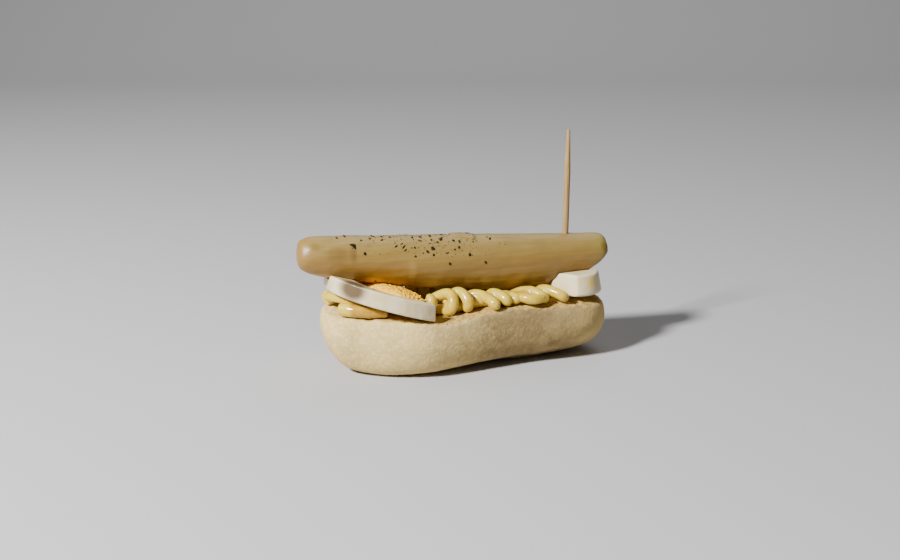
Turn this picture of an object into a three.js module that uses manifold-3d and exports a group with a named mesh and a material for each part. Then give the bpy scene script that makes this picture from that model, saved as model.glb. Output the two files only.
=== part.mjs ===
// Mini panini: the lower half of a small soft roll with piped mayonnaise, two pieces of boiled egg,
// a spear of white asparagus with ground pepper, and a wooden toothpick stuck upright through the lot.
// Millimetres, +Z up, +X along the roll. The origin is on the flat face that the roll rests on.
import * as THREE from "three";
import { mergeVertices } from "three/addons/utils/BufferGeometryUtils.js";
import { ImprovedNoise } from "three/addons/math/ImprovedNoise.js";
import Module from "manifold-3d";

const wasm = await Module();
wasm.setup();

// Driving dimensions.
const gap = 0.3;

const roll = {
  halfLength: 44.5,
  halfWidth: 18,
  squareness: 3,
  height: 18.75,
  dipDepth: 1.9,
  dipX: -10.5,
  dipReach: 9,
  crumb: { depth: 0.22, size: 3.2, rim: 0.2 },
  frontBulges: [
    { x: -36, reach: 7, gain: -0.12 },
    { x: -16, reach: 8, gain: 0.08 },
    { x: 16, reach: 18, gain: -0.18 },
  ],
  frontFall: { drop: 1.1, fromX: 12, toX: 25, fromY: 9, toY: 14 },
  keel: { end: 18.5, halfWidth: 4.6 },
  tail: { lift: 2.1, drop: 1.7, dropFrom: 30 },
  edge: { lift: 2.6, from: -30, to: 24, halfWidth: 10 },
  side: { fullness: 0.7, from: -42, to: -24 },
  segments: 60,
};

// The roll's side, from the middle of the underside to the middle of the cut top: how far a level lies inside
// the widest outline, and its share of the height.
const rollLevels = [
  [18, 0],
  [14, 0],
  [10.4, 0],
  [7.6, 0.025],
  [5, 0.12],
  [2.7, 0.29],
  [0.9, 0.5],
  [0, 0.7],
  [0.2, 0.86],
  [0.7, 0.96],
  [1.5, 1],
  [6.5, 1],
  [11, 1],
  [15, 1],
  [18, 1],
];

// The spear's sections: place along the roll, height of the middle, radius.
const spearSections = [
  [-51, 35.9, 2.4],
  [-50.4, 35.9, 3.9],
  [-48.5, 35.7, 5],
  [-43.2, 34.9, 6.1],
  [-34.5, 34, 6.6],
  [-20, 32.1, 7.7],
  [-8, 31.2, 8.1],
  [3, 30.8, 7.9],
  [12, 30.5, 7.6],
  [27, 30.4, 6.8],
  [40, 30.5, 6.1],
  [44, 30.7, 5.5],
  [45.9, 31.2, 3.6],
];
const spear = {
  y: 0.8,
  sides: 28,
  rings: 37,
  fluteCount: 11,
  fluteDepth: 0.1,
  bruise: { size: 7, depth: 0.35, seed: 2.5 },
  bevel: { x: 45.6, z: 31.4, slopeDegrees: 43 },
  belly: { depth: 0.34, from: -8, fullFrom: 18, fullTo: 26, to: 34 },
};

// How fast a scale leaf rises from the spear at its sides and at its root, as shares of its spread and reach.
const leafEdge = { side: 1 / 3, root: 1 / 6 };
// Scale leaves that lie on the spear and point to its tip: where each is attached, round the spear from the
// front over the top, and how far it reaches, spreads and stands up.
const scaleLeaves = [
  { x: -35, turn: 20, reach: 10, spread: 55, rise: 0.4 },
  { x: 2.5, turn: 88, reach: 8.5, spread: 34, rise: 0.7 },
  { x: -41, turn: 95, reach: 8, spread: 48, rise: 0.4 },
  { x: -42.5, turn: -40, reach: 7.5, spread: 50, rise: 0.4 },
  { x: -44, turn: 30, reach: 7, spread: 42, rise: 0.45 },
  { x: -45, turn: 160, reach: 7, spread: 46, rise: 0.4 },
  { x: -46, turn: 250, reach: 6, spread: 46, rise: 0.4 },
  { x: -29, turn: 205, reach: 11, spread: 50, rise: 0.45 },
  { x: 18, turn: 190, reach: 9, spread: 38, rise: 0.5 },
];

// Ground pepper: the coarsest grains lie where they fell, as place, turn round the spear and size.
const coarseGrains = [
  [-35.3, 46, 1.5],
  [-32.2, 25, 0.9],
  [-36.9, 86, 1],
  [-28.5, 88, 1],
  [-26.2, 66, 0.8],
  [-20.3, 45, 1],
  [-14.9, 63, 1],
  [-11.3, 80, 1.1],
  [-11.6, 40, 1.3],
  [-9.7, 56, 0.9],
  [-8.4, 66, 1.5],
  [-7.4, 30, 0.9],
  [-2.9, 57, 1.1],
  [-0.6, 25, 1],
  [4.2, 7, 0.8],
  [7.1, 66, 1.1],
];
const finePepper = {
  count: 26,
  middleX: -10,
  spreadX: 20.8,
  middleTurn: 72,
  spreadTurn: 30,
  sizes: [0.4, 0.8],
};
const grain = { stretch: [0.7, 1.4], flatness: 0.6, proud: 0.08 };

// The side of the block that stands for everything beyond a knife's cut.
const knifeSide = 80;
// How much of a slice's edge the softer corner takes.
const edgeSoftness = 0.3;

// The left piece is half of an oval slice with its yolk, which lies forward of the middle and bulges, but is
// pressed in at its left end by the spear. The slice lies on a slope, which is its rise for each millimetre
// along the roll and across it, and its sides stand upright. A small face is cut off its left end.
const leftSlice = {
  place: [-21.6, 1.6, 18.66],
  turnDegrees: 22,
  slope: { x: -0.31, y: -0.066 },
  halfLength: 21.6,
  halfWidth: 20,
  thickness: 5.1,
  edge: 0.35,
  endFace: { distance: 20.7, turnDegrees: 158 },
  segments: 56,
};
const yolk = {
  halfLength: 14.4,
  halfWidth: 13.7,
  forward: 2.6,
  dome: 1.1,
  shoulder: { drop: 0.35, power: 6 },
  grain: { depth: 0.28, size: 1.5 },
  pressed: { depth: 2.8, from: -6.5, to: -10.5 },
  reveal: 0.05,
  rings: 9,
  segments: 44,
};

// The right piece is a thick wedge of the white: a round rim and two faces left by the knife.
const rightSlice = {
  place: [33.8, -3, 19.5],
  turnDegrees: [-2.5, 0, 0],
  bottomRadius: 9.2,
  topRadius: 8.3,
  thickness: 6.5,
  edge: 0.7,
  segments: 40,
  faces: [
    { distance: 6.9, turnDegrees: 216.5 },
    { distance: 6.8, turnDegrees: 163 },
  ],
  draftDegrees: 8,
};

const piping = {
  rope: 1.5,
  swing: 2.3,
  bulge: 0.9,
  slack: { least: 0.25, from: 0.85 },
  sides: 7,
  steps: 8,
  capRings: 2,
  overlap: 0.04,
  tail: 0.58,
};
// The two rows: which side of the roll they lie on, and how far out they crest. A plain bed of rope lies
// inside each row and fills it: its two ends and how far out its middle lies.
const frontRow = { side: -1, out: 7.8, bed: { from: -12.4, to: 23.4, out: 8.2 } };
const backRow = { side: 1, out: 9, bed: { from: -19, to: 29, out: 9.8 } };
const bedRope = { radius: 1.72, endRadius: 1, steps: 9 };
// Front loops, left to right: where the strand crests, where it touches the roll, half the loop's height, and
// how much further out than the crest the foot lies.
const frontLoops = [
  [-14.1, -14.4, 2.2, -1.2],
  [-7.7, -8.3, 2.4, 1.8],
  [-4.3, -2.6, 2.2, 2.1],
  [1.9, 5.2, 1.1, 4.9],
  [7.3, 9.6, 0.95, 1.8],
  [11.8, 12.2, 0.3, 0.4],
  [18.4, 21.7, 0.85, 1.8],
  [23.6, 28, 0.85, 2.5],
];
const backLoops = {
  count: 10,
  firstX: -19.5,
  pitch: 5.4,
  waver: 0.6,
  lean: [1.56, 3.2],
  halfHeight: [1.1, 1.8],
  out: 1.95,
};
// Plain lengths of rope, as places of the middle, radii along them and steps.
const looseRope = {
  places: [
    [13.6, -9.2, 21.2],
    [15.6, -11.8, 20.9],
    [18, -12.9, 20.7],
    [20.8, -12.5, 20.6],
  ],
  radii: [1.1, 1.45, 1.45, 1.1],
  steps: 5,
};
// The rope piped round the left end of the roll, flattened by the slice that lies on it.
const endRopes = [
  {
    places: [
      [-41.6, 4.6, 21.5],
      [-39.4, 6.8, 21],
      [-36.5, 8.7, 20.6],
      [-33, 9.6, 20],
    ],
    radii: [2.1, 1.7, 1.3, 0.7],
    steps: 8,
  },
  {
    places: [
      [-40, -6.8, 21],
      [-36.8, -9.6, 21],
      [-32.5, -11.6, 20.55],
      [-27.6, -12.8, 19.8],
    ],
    radii: [1.85, 1.85, 1.5, 0.7],
    steps: 10,
  },
  {
    places: [
      [-31.6, -9.8, 21.5],
      [-35.2, -8.8, 22.4],
      [-38.8, -4.4, 22.8],
      [-41, 1, 22.5],
      [-41.4, 4, 22],
    ],
    radii: [0.6, 0.85, 0.9, 1.2, 1.5],
    steps: 10,
  },
];

const toothpick = {
  x: 32.4,
  y: 0.8,
  bottomZ: 4.3,
  length: 65,
  radius: 1,
  point: 0.35,
  taper: 13,
  leanDegrees: 0.6,
  sides: 12,
};

// Colours and finishes.
const finishes = {
  bread: { color: 0xdccba6, roughness: 0.95 },
  mayonnaise: { color: 0xecd894, roughness: 0.25 },
  eggWhite: { color: 0xe9e6d8, roughness: 0.4 },
  eggYolk: { color: 0xe0b55c, roughness: 0.85 },
  asparagus: { color: 0xc2a05f, roughness: 0.4 },
  wood: { color: 0xcfae85, roughness: 0.75 },
};

const noise = new ImprovedNoise();
const noiseLevel = 0.5;
const degrees = Math.PI / 180;
const shuffle = { index: 12.9898, kind: 78.233, start: 4.1, spread: 43758.5453 };

// A repeatable draw between 0 and 1 for each whole number and each kind of choice.
function draw(index, kind) {
  const angle = index * shuffle.index + kind * shuffle.kind + shuffle.start;
  const mixed = Math.sin(angle) * shuffle.spread;
  return mixed - Math.floor(mixed);
}

// Smooth random heights between -1 and 1 over the plan, with bumps of a size.
function unevenness({ x, y }, size) {
  return noise.noise(x / size, y / size, noiseLevel);
}

// Moves every vertex of a geometry.
function reshape(geometry, move) {
  const positions = geometry.attributes.position;
  const vertex = new THREE.Vector3();
  for (let i = 0; i < positions.count; i += 1) {
    vertex.fromBufferAttribute(positions, i);
    move(vertex);
    positions.setXYZ(i, vertex.x, vertex.y, vertex.z);
  }
  return geometry;
}

// A closed geometry as a solid that can be joined and cut.
function solidOf(geometry) {
  const bare = geometry.clone();
  bare.deleteAttribute("normal");
  bare.deleteAttribute("uv");
  const merged = mergeVertices(bare, 1e-4);
  const mesh = new wasm.Mesh({
    numProp: 3,
    vertProperties: merged.attributes.position.array,
    triVerts: new Uint32Array(merged.index.array),
  });
  return new wasm.Manifold(mesh);
}

function geometryOf(solid) {
  const mesh = solid.getMesh();
  const geometry = new THREE.BufferGeometry();
  geometry.setAttribute("position", new THREE.BufferAttribute(mesh.vertProperties, 3));
  geometry.setIndex(new THREE.BufferAttribute(mesh.triVerts, 1));
  geometry.computeVertexNormals();
  return geometry;
}

// The union of some solids, without the crumbs that a join may leave loose.
function joined(solids) {
  const bodies = solids.reduce((whole, piece) => whole.add(piece)).decompose();
  return bodies.reduce((largest, body) => (body.volume() > largest.volume() ? body : largest));
}

// A profile of radius and height turned about the vertical axis.
function turned(profile, segments) {
  const points = profile.map(([radius, height]) => new THREE.Vector2(radius, height));
  return new THREE.LatheGeometry(points, segments).rotateX(Math.PI / 2);
}

function rollTopAt(x) {
  const dip = roll.dipDepth * Math.exp(-(((x - roll.dipX) / roll.dipReach) ** 2));
  const fall = THREE.MathUtils.smoothstep(x, roll.tail.dropFrom, roll.halfLength);
  return roll.height - dip - roll.tail.drop * fall;
}

// The underside is flat along a keel and rises towards the right end and, more and more, its long edges.
function rollUndersideAt(x, y) {
  const { keel, edge, tail } = roll;
  const beyond = THREE.MathUtils.smoothstep(x, keel.end, roll.halfLength);
  const beside = THREE.MathUtils.smoothstep(Math.abs(y), keel.halfWidth, edge.halfWidth);
  return tail.lift * beyond + edge.lift * beside * THREE.MathUtils.smoothstep(x, edge.from, edge.to);
}

// How far the roll's front stands out at a place along it, as a share of the plain outline's width: it bulges
// at the left and draws in towards both ends.
function rollFrontAt(x) {
  let share = 1;
  for (const bulge of roll.frontBulges) share += bulge.gain * Math.exp(-(((x - bulge.x) / bulge.reach) ** 2));
  return share;
}

// The cut top falls away along the front of the right half.
function rollFallAt(x, y) {
  const { drop, fromX, toX, fromY, toY } = roll.frontFall;
  return drop * THREE.MathUtils.smoothstep(x, fromX, toX) * THREE.MathUtils.smoothstep(-y, fromY, toY);
}

function makeRoll() {
  const profile = rollLevels.map(([inset, level]) => [1 - inset / roll.halfWidth, level]);
  const geometry = turned(profile, roll.segments);
  const power = 2 / roll.squareness;
  return reshape(geometry, (v) => {
    const reach = Math.hypot(v.x, v.y);
    const angle = Math.atan2(v.y, v.x);
    const level = Math.max(v.z, 0);
    const inner = 1 - reach;
    const lengthHere =
      roll.halfLength - roll.halfWidth * inner - (roll.halfLength - roll.halfWidth) * inner ** 3;
    v.x = lengthHere * Math.sign(Math.cos(angle)) * Math.abs(Math.cos(angle)) ** power;
    v.y = roll.halfWidth * reach * Math.sign(Math.sin(angle)) * Math.abs(Math.sin(angle)) ** power;
    if (v.y < 0) v.y *= rollFrontAt(v.x);
    const low = rollUndersideAt(v.x, v.y);
    const upright = THREE.MathUtils.smoothstep(v.x, roll.side.from, roll.side.to);
    const top = rollTopAt(v.x) - rollFallAt(v.x, v.y);
    v.z = low + (top - low) * level ** (1 + roll.side.fullness * upright);
    if (level === 1 && inner > roll.crumb.rim) v.z += roll.crumb.depth * unevenness(v, roll.crumb.size);
  });
}

const spearLine = new THREE.CatmullRomCurve3(
  spearSections.map(([x, z, radius]) => new THREE.Vector3(x, z, radius)),
  false,
  "centripetal",
);

// Height of the spear's middle and its radius at a place along the roll.
function spearAt(x) {
  let low = 0;
  let high = 1;
  for (let i = 0; i < 30; i += 1) {
    const middle = (low + high) / 2;
    if (spearLine.getPoint(middle).x < x) low = middle;
    else high = middle;
  }
  const found = spearLine.getPoint(low);
  return { z: found.y, radius: found.z };
}

// The spear sags between the two rows, so its lower half is deeper there.
function bellyAt(x) {
  const { depth, from, fullFrom, fullTo, to } = spear.belly;
  const { smoothstep } = THREE.MathUtils;
  return 1 + depth * smoothstep(x, from, fullFrom) * (1 - smoothstep(x, fullTo, to));
}

// A point of the spear's surface: turn 0 faces the front, 90 the top.
function spearPoint(x, z, radius, turn) {
  const y = spear.y - radius * Math.cos(turn * degrees);
  const rise = radius * Math.sin(turn * degrees);
  return new THREE.Vector3(x, y, z + (rise < 0 ? rise * bellyAt(x) : rise));
}

function leafRise(x, turn) {
  let rise = 0;
  for (const leaf of scaleLeaves) {
    const along = (leaf.x - x) / leaf.reach;
    const across = Math.abs(((turn - leaf.turn + 540) % 360) - 180) / leaf.spread;
    const width = Math.sqrt(Math.max(0, 1 - along));
    if (along <= 0 || across >= width) continue;
    const slope = Math.min(1, (width - across) / leafEdge.side) * Math.min(1, along / leafEdge.root);
    rise = Math.max(rise, leaf.rise * slope);
  }
  return rise;
}

// The surface's own relief at a place and turn: shallow flutes, soft unevenness and the scale leaves.
function spearRelief(x, turn) {
  const flute = spear.fluteDepth * Math.cos(spear.fluteCount * turn * degrees);
  const round = turn * degrees;
  const bruise = noise.noise(x / spear.bruise.size, Math.cos(round), Math.sin(round) + spear.bruise.seed);
  return flute + spear.bruise.depth * bruise + leafRise(x, turn);
}

function makeSpear(inflate) {
  const geometry = new THREE.CylinderGeometry(1, 1, 1, spear.sides, spear.rings);
  return reshape(geometry, (v) => {
    const section = spearLine.getPoint(THREE.MathUtils.clamp(v.y + 0.5, 0, 1));
    const reach = Math.hypot(v.x, v.z);
    const turn = reach > 0 ? Math.atan2(v.z, v.x) / degrees : 0;
    const radius = (section.z + spearRelief(section.x, turn) + inflate) * reach;
    v.copy(spearPoint(section.x, section.y, radius, turn));
  });
}

// The slanting cut at the spear's thick end.
function makeBevelCutter() {
  const { x, z, slopeDegrees } = spear.bevel;
  return new THREE.BoxGeometry(knifeSide, knifeSide, knifeSide)
    .translate(0, 0, -knifeSide / 2)
    .rotateY(-slopeDegrees * degrees)
    .translate(x, 0, z);
}

function makeGrain(x, turn, size, index) {
  const { z, radius } = spearAt(x);
  const stretch = THREE.MathUtils.lerp(...grain.stretch, draw(index, 1));
  return new THREE.IcosahedronGeometry(size / 2, 0)
    .scale(stretch, 1, grain.flatness)
    .rotateZ(draw(index, 2) * Math.PI)
    .rotateX((90 - turn) * degrees)
    .translate(...spearPoint(x, z, radius + spearRelief(x, turn) + size * grain.proud, turn));
}

function makePepper() {
  const grains = coarseGrains.map(([x, turn, size], i) => makeGrain(x, turn, size, i));
  for (let i = 0; i < finePepper.count; i += 1) {
    const index = i + coarseGrains.length;
    const x = finePepper.middleX + finePepper.spreadX * (draw(index, 3) + draw(index, 4) - 1);
    const turn = finePepper.middleTurn + finePepper.spreadTurn * (2 * draw(index, 5) - 1);
    const size = THREE.MathUtils.lerp(...finePepper.sizes, draw(index, 6));
    grains.push(makeGrain(x, turn, size, index));
  }
  return grains;
}

// A flat disc with softened edges, standing on z = 0.
function makeDisc(bottomRadius, topRadius, { thickness, edge, segments }) {
  const soft = edge * edgeSoftness;
  return turned(
    [
      [0, 0],
      [bottomRadius - edge, 0],
      [bottomRadius - soft, soft],
      [bottomRadius, edge],
      [topRadius, thickness - edge],
      [topRadius - soft, thickness - soft],
      [topRadius - edge, thickness],
      [0, thickness],
    ],
    segments,
  );
}

// What a knife takes off: everything beyond a face that stands at a distance from the middle.
function makeHalfCutter(distance, turnDegrees, draftDegrees) {
  return new THREE.BoxGeometry(knifeSide, knifeSide, knifeSide)
    .translate(knifeSide / 2, 0, 0)
    .rotateY(-draftDegrees * degrees)
    .translate(distance, 0, 0)
    .rotateZ(turnDegrees * degrees);
}

// Lays a part of the left slice on its slope.
function laid(solid) {
  const { place, turnDegrees, slope } = leftSlice;
  const geometry = geometryOf(solid).rotateZ(turnDegrees * degrees);
  const sloping = reshape(geometry, (v) => {
    v.z += slope.x * v.x + slope.y * v.y;
  });
  return solidOf(sloping.translate(...place));
}

function makeLeftWhite() {
  const { halfLength, halfWidth, endFace } = leftSlice;
  const disc = makeDisc(halfLength, halfLength, leftSlice).scale(1, halfWidth / halfLength, 1);
  const room = new THREE.CylinderGeometry(1, 1, knifeSide, yolk.segments)
    .rotateX(Math.PI / 2)
    .scale(yolk.halfLength + gap, yolk.halfWidth + gap, 1)
    .translate(0, -yolk.forward, 0);
  const white = solidOf(disc)
    .subtract(solidOf(room))
    .subtract(solidOf(makeHalfCutter(0, 0, 0)))
    .subtract(solidOf(makeHalfCutter(endFace.distance, endFace.turnDegrees, 0)));
  return laid(white);
}

function makeLeftYolk() {
  const profile = [
    [0, 0],
    [1, 0],
  ];
  for (let i = yolk.rings; i >= 0; i -= 1) {
    const share = i / yolk.rings;
    profile.push([share, 1 - yolk.shoulder.drop * share ** yolk.shoulder.power]);
  }
  const disc = reshape(turned(profile, yolk.segments), (v) => {
    const crumbly = v.z > yolk.shoulder.drop;
    v.x *= yolk.halfLength;
    v.y *= yolk.halfWidth;
    v.z *= leftSlice.thickness + yolk.dome;
    const pressed = THREE.MathUtils.smoothstep(-v.x, -yolk.pressed.from, -yolk.pressed.to);
    if (crumbly) v.z += yolk.grain.depth * unevenness(v, yolk.grain.size) - yolk.pressed.depth * pressed;
    v.y -= yolk.forward;
  });
  return laid(solidOf(disc).subtract(solidOf(makeHalfCutter(-yolk.reveal, 0, 0))));
}

function makeRightWhite() {
  let piece = solidOf(makeDisc(rightSlice.bottomRadius, rightSlice.topRadius, rightSlice));
  for (const { distance, turnDegrees } of rightSlice.faces) {
    piece = piece.subtract(solidOf(makeHalfCutter(distance, turnDegrees, rightSlice.draftDegrees)));
  }
  return piece;
}

// One loop of the piped rope: over the crest, down the outer side, along the roll and up the inner side.
class LoopCurve extends THREE.Curve {
  constructor(loop, next, row, end) {
    super();
    const [crest, foot, halfHeight, out] = loop;
    const [nextCrest, , nextHalfHeight] = next;
    Object.assign(this, { crest, foot, nextCrest, halfHeight, nextHalfHeight, out, row, end });
  }

  getPoint(t, target = new THREE.Vector3()) {
    const share = THREE.MathUtils.lerp(-piping.overlap, this.end, t);
    const angle = share * 2 * Math.PI;
    const pitch = this.nextCrest - this.crest;
    const lean = this.foot - this.crest - pitch / 2;
    const down = (1 - Math.cos(angle)) / 2;
    const round = Math.sin(angle);
    const x = this.crest + pitch * share + lean * down + piping.bulge * round;
    const y = this.row.side * (this.row.out + piping.swing * round + this.out * down);
    const rest = rollTopAt(x) + roll.crumb.depth + gap + piping.rope;
    const height = 2 * THREE.MathUtils.lerp(this.halfHeight, this.nextHalfHeight, share);
    return target.set(x, y, rest + height * (1 - down));
  }
}

// A rope with rounded ends along a curve; radiusAt gives its radius from 0 at the start to 1 at the end.
function makeRope(curve, radiusAt, steps, sides) {
  const frames = curve.computeFrenetFrames(steps, false);
  const capsule = new THREE.CapsuleGeometry(1, steps, piping.capRings, sides, steps);
  return reshape(capsule, (v) => {
    const along = THREE.MathUtils.clamp(v.y + steps / 2, 0, steps);
    const beyond = v.y + steps / 2 - along;
    const index = Math.round(along);
    const share = index / steps;
    const radius = radiusAt(share);
    const [sideways, upward] = [v.x * radius, v.z * radius];
    curve.getPointAt(share, v);
    v.addScaledVector(frames.tangents[index], beyond * radius);
    v.addScaledVector(frames.normals[index], -sideways);
    v.addScaledVector(frames.binormals[index], upward);
  });
}

// A loop's rope thins towards its end, so that the next one starts proud of it.
function loopRadius(share) {
  return piping.rope - piping.slack.least * THREE.MathUtils.smoothstep(share, piping.slack.from, 1);
}

function makeLoops(loops, row) {
  const last = loops.length - 1;
  return loops.map((loop, i) => {
    const next = i < last ? loops[i + 1] : [loop[1] + 1, 0, loop[2]];
    const end = i < last ? 1 + piping.overlap : piping.tail;
    const curve = new LoopCurve(loop, next, row, end);
    return solidOf(makeRope(curve, loopRadius, piping.steps, piping.sides));
  });
}

function ropeThrough({ places, radii, steps }) {
  const curve = new THREE.CatmullRomCurve3(places.map((place) => new THREE.Vector3(...place)));
  const radiusAt = (share) => {
    const place = share * (radii.length - 1);
    const index = Math.min(Math.floor(place), radii.length - 2);
    return THREE.MathUtils.lerp(radii[index], radii[index + 1], place - index);
  };
  return solidOf(makeRope(curve, radiusAt, steps, piping.sides));
}

function makeBed({ side, bed }) {
  const { radius, endRadius, steps } = bedRope;
  const places = [];
  const radii = [];
  for (let i = 0; i <= steps; i += 1) {
    const x = THREE.MathUtils.lerp(bed.from, bed.to, i / steps);
    places.push([x, side * bed.out, rollTopAt(x) + roll.crumb.depth + gap + radius]);
    radii.push(i === 0 || i === steps ? endRadius : radius);
  }
  return ropeThrough({ places, radii, steps });
}

function makeFrontPiping() {
  return joined([...makeLoops(frontLoops, frontRow), makeBed(frontRow), ropeThrough(looseRope)]);
}

function makeBackPiping() {
  const loops = [];
  for (let i = 0; i < backLoops.count; i += 1) {
    const crest = backLoops.firstX + backLoops.pitch * i + backLoops.waver * (2 * draw(i, 7) - 1);
    const foot = crest + THREE.MathUtils.lerp(...backLoops.lean, draw(i, 8));
    loops.push([crest, foot, THREE.MathUtils.lerp(...backLoops.halfHeight, draw(i, 9)), backLoops.out]);
  }
  return joined([...makeLoops(loops, backRow), makeBed(backRow)]);
}

// The toothpick's axis line, widened by a clearance, for the holes that it makes.
function makeToothpick(clearance) {
  const { radius, length, point, taper, bottomZ, leanDegrees } = toothpick;
  const profile = [
    [0, -clearance],
    [point + clearance, -clearance],
    [radius + clearance, taper],
    [radius + clearance, length - taper],
    [point + clearance, length + clearance],
    [0, length + clearance],
  ];
  return turned(profile, toothpick.sides)
    .rotateY(leanDegrees * degrees)
    .translate(toothpick.x, toothpick.y, bottomZ);
}

// The place and tilt of a slice.
function makeSeat({ place, turnDegrees }) {
  const seat = new THREE.Group();
  seat.position.set(...place);
  seat.rotation.set(...turnDegrees.map((turn) => turn * degrees));
  seat.updateMatrixWorld(true);
  return seat;
}

// A geometry of the whole's frame, seen from a slice's seat.
function atSeat(geometry, seat) {
  return geometry.clone().applyMatrix4(seat.matrixWorld.clone().invert());
}

function named(name, geometry, finish) {
  const mesh = new THREE.Mesh(geometry, new THREE.MeshStandardMaterial(finish));
  mesh.name = name;
  return mesh;
}

const hole = solidOf(makeToothpick(gap));
const cut = solidOf(makeSpear(0)).subtract(solidOf(makeBevelCutter()));
const peppered = joined([cut, ...makePepper().map(solidOf)]).subtract(hole);
const spearRoom = makeSpear(gap);

const pressedBy = solidOf(spearRoom);
const leftWhite = makeLeftWhite().subtract(pressedBy);
const leftYolk = makeLeftYolk().subtract(pressedBy);

const rightSeat = makeSeat(rightSlice);
const rightWhite = makeRightWhite()
  .subtract(solidOf(atSeat(spearRoom, rightSeat)))
  .subtract(solidOf(atSeat(makeToothpick(gap), rightSeat)));
rightSeat.add(named("egg_white_right", geometryOf(rightWhite), finishes.eggWhite));

const panini = new THREE.Group();
panini.add(
  named("bread_base", geometryOf(solidOf(makeRoll()).subtract(hole)), finishes.bread),
  named("mayonnaise_front", geometryOf(makeFrontPiping().subtract(hole)), finishes.mayonnaise),
  named("mayonnaise_back", geometryOf(makeBackPiping()), finishes.mayonnaise),
  named("mayonnaise_end", geometryOf(joined(endRopes.map(ropeThrough))), finishes.mayonnaise),
  named("egg_white_left", geometryOf(leftWhite), finishes.eggWhite),
  named("egg_yolk_left", geometryOf(leftYolk), finishes.eggYolk),
  rightSeat,
  named("asparagus", geometryOf(peppered), finishes.asparagus),
  named("toothpick", makeToothpick(0), finishes.wood),
);

export default panini;
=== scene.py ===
import math
import random

import bmesh
import bpy
from mathutils import Matrix, Vector


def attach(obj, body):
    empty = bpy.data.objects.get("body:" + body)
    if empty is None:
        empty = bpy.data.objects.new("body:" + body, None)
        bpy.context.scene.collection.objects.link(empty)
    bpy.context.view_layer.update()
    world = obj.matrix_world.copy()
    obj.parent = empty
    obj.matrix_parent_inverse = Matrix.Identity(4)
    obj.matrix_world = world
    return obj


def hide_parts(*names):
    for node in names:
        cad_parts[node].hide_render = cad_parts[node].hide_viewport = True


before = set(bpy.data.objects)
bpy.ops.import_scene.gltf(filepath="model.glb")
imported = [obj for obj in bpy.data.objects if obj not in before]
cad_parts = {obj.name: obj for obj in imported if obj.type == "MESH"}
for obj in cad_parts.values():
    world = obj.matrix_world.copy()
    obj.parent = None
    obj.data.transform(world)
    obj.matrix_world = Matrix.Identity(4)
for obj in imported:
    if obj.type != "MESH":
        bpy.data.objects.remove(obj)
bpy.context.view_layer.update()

mm = 0.001
degrees = math.pi / 180


def tint(red, green, blue):
    # a screen colour from 0 to 255 as the linear colour that the shader wants
    def linear(value):
        share = value / 255
        return share / 12.92 if share <= 0.04045 else ((share + 0.055) / 1.055) ** 2.4

    return (linear(red), linear(green), linear(blue), 1.0)


def between(pair, share):
    return pair[0] + (pair[1] - pair[0]) * share


def ease(value, low, high):
    share = min(max((value - low) / (high - low), 0), 1)
    return share * share * (3 - 2 * share)


# Picking, copying and finishing objects

def only(piece):
    bpy.ops.object.select_all(action="DESELECT")
    piece.select_set(True)
    bpy.context.view_layer.objects.active = piece


def renamed(name):
    piece = bpy.context.object
    piece.name = name
    piece.data.name = name
    return piece


def modify(piece, kind, **settings):
    only(piece)
    step = piece.modifiers.new(kind.title(), kind)
    for name, value in settings.items():
        setattr(step, name, value)
    bpy.ops.object.modifier_apply(modifier=step.name)


def editAll(piece):
    only(piece)
    bpy.ops.object.mode_set(mode="EDIT")
    bpy.ops.mesh.select_all(action="SELECT")


def doneEditing():
    bpy.ops.object.mode_set(mode="OBJECT")


def selectPoints(piece, test):
    # in edit mode: picks the points that pass a test of place and normal
    bpy.ops.mesh.select_mode(type="VERT")
    mesh = bmesh.from_edit_mesh(piece.data)
    for point in mesh.verts:
        point.select = test(point.co, point.normal)
    mesh.select_flush_mode()
    bmesh.update_edit_mesh(piece.data)


def groupPoints(piece, name, test):
    # a vertex group of the points that pass a test
    editAll(piece)
    selectPoints(piece, test)
    piece.vertex_groups.new(name=name)
    bpy.ops.object.vertex_group_assign()
    doneEditing()


def settle(piece):
    only(piece)
    bpy.ops.object.transform_apply(location=True, rotation=True, scale=True)


def copyOfNode(node, name):
    # a solid of the frame with its loose triangles merged into one skin
    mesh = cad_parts[node].data.copy()
    mesh.materials.clear()
    piece = bpy.data.objects.new(name, mesh)
    bpy.context.scene.collection.objects.link(piece)
    editAll(piece)
    bpy.ops.mesh.remove_doubles(threshold=0.005 * mm)
    doneEditing()
    return piece


def copyOfPattern(pattern):
    piece = pattern.copy()
    piece.data = pattern.data.copy()
    bpy.context.scene.collection.objects.link(piece)
    return piece


def joinPieces(pieces, name):
    bpy.ops.object.select_all(action="DESELECT")
    for piece in pieces:
        piece.select_set(True)
    bpy.context.view_layer.objects.active = pieces[0]
    bpy.ops.object.join()
    return renamed(name)


def fuse(piece, voxel, smoothing, swell):
    # makes one skin of all that the piece holds, softens it and gives back what softening took
    modify(piece, "REMESH", mode="VOXEL", voxel_size=voxel * mm, adaptivity=0.0)
    modify(piece, "SMOOTH", factor=0.5, iterations=smoothing)
    if swell:
        modify(piece, "DISPLACE", strength=swell * mm, mid_level=0.0)


def roughen(piece, kind, size, depth, stretch=(1, 1, 1), group="", level=0.5, seed=0, **looks):
    # moves the skin in and out by a texture; sizes in millimetres, stretched along an axis
    texture = bpy.data.textures.new(piece.name + kind, kind)
    texture.noise_scale = size
    for name, value in looks.items():
        setattr(texture, name, value)
    # the seed sets how far the pattern is shifted
    bpy.ops.object.empty_add(location=(0.013 * seed, 0.007 * seed, 0.011 * seed))
    guide = bpy.context.object
    guide.scale = [mm * share for share in stretch]
    bpy.context.view_layer.update()
    modify(
        piece,
        "DISPLACE",
        texture=texture,
        texture_coords="OBJECT",
        texture_coords_object=guide,
        strength=depth * mm,
        mid_level=level,
        vertex_group=group,
    )
    bpy.data.objects.remove(guide)


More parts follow.
